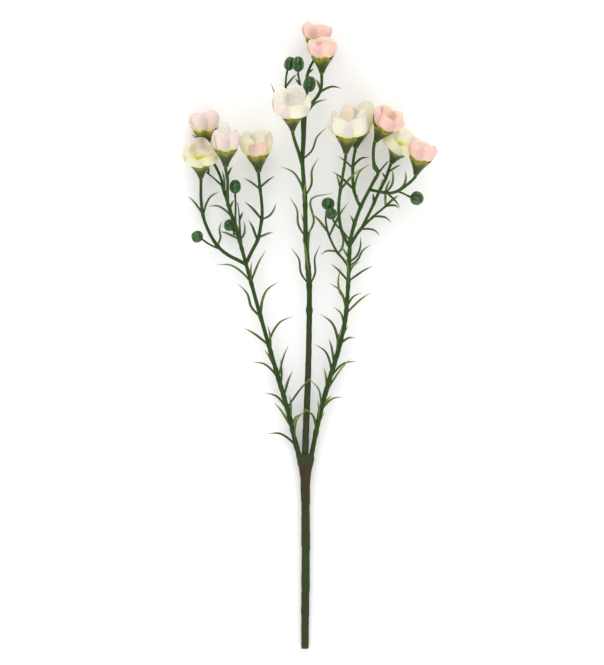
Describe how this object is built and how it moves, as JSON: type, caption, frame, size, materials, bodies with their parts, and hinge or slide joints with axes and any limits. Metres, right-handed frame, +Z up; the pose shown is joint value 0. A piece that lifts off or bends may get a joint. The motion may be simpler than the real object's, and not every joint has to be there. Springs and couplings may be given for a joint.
{
  "type": "waxflower stem",
  "caption": "Artificial waxflower spray lying flat: tape-wrapped stalk, leafy side branches, cupped five-petal blooms in trumpet-shaped calyxes and ball buds",
  "frame": {"origin": "on the surface that the spray lies on, under the middle of its box", "axes": "+Y runs from the cut end of the stalk to the tips of the blooms, +X is to the right as seen from above, and +Z points up from the surface, towards the front of the spray"},
  "size_m": [0.1778, 0.4402, 0.0545],
  "materials": {
    "tape": "dull crêpe tape, wrapped in laps",
    "stem_green": "moulded, satin",
    "leaf_green": "moulded, satin",
    "calyx": "moulded, satin, olive at the rim",
    "bud": "moulded, semi-gloss",
    "stamen": "matt",
    "petal_pale_pink": "thin, matt, faintly translucent",
    "petal_salmon": "thin, matt, faintly translucent",
    "petal_cream": "thin, matt, faintly translucent",
    "petal_white": "thin, matt, faintly translucent"
  },
  "bodies": {
    "root": {"stalk": "tape", "branch_left": "stem_green", "branch_centre": "stem_green", "branch_right": "leaf_green", "bloom_left_1_calyx": "calyx", "bloom_left_1_petals": "petal_pale_pink", "bloom_left_1_stamens": "stamen", "bloom_left_2_calyx": "calyx", "bloom_left_2_petals": "petal_cream", "bloom_left_2_odd_petal": "petal_pale_pink", "bloom_left_2_stamens": "stamen", "bloom_left_3_calyx": "calyx", "bloom_left_3_petals": "petal_pale_pink", "bloom_left_3_odd_petal": "petal_cream", "bloom_left_3_stamens": "stamen", "bloom_left_4_calyx": "calyx", "bloom_left_4_petals": "petal_cream", "bloom_left_4_odd_petal": "petal_salmon", "bloom_left_4_stamens": "stamen", "bloom_centre_1_calyx": "calyx", "bloom_centre_1_petals": "petal_salmon", "bloom_centre_1_stamens": "stamen", "bloom_centre_2_calyx": "calyx", "bloom_centre_2_petals": "petal_salmon", "bloom_centre_2_stamens": "stamen", "bloom_centre_3_calyx": "calyx", "bloom_centre_3_petals": "petal_white", "bloom_centre_3_odd_petal": "petal_pale_pink", "bloom_centre_3_stamens": "stamen", "bloom_right_1_calyx": "calyx", "bloom_right_1_petals": "petal_white", "bloom_right_1_odd_petal": "petal_salmon", "bloom_right_1_stamens": "stamen", "bloom_right_2_calyx": "calyx", "bloom_right_2_petals": "petal_cream", "bloom_right_2_stamens": "stamen", "bloom_right_3_calyx": "calyx", "bloom_right_3_petals": "petal_salmon", "bloom_right_3_stamens": "stamen", "bloom_right_4_calyx": "calyx", "bloom_right_4_petals": "petal_cream", "bloom_right_4_stamens": "stamen", "bloom_right_5_calyx": "calyx", "bloom_right_5_petals": "petal_salmon", "bloom_right_5_stamens": "stamen", "bud_left_1": "bud", "bud_left_2": "bud", "bud_left_3": "bud", "bud_centre_1": "bud", "bud_centre_2": "bud", "bud_centre_3": "bud", "bud_right_1": "bud", "bud_right_2": "bud", "bud_right_3": "bud"}
  },
  "joints": []
}
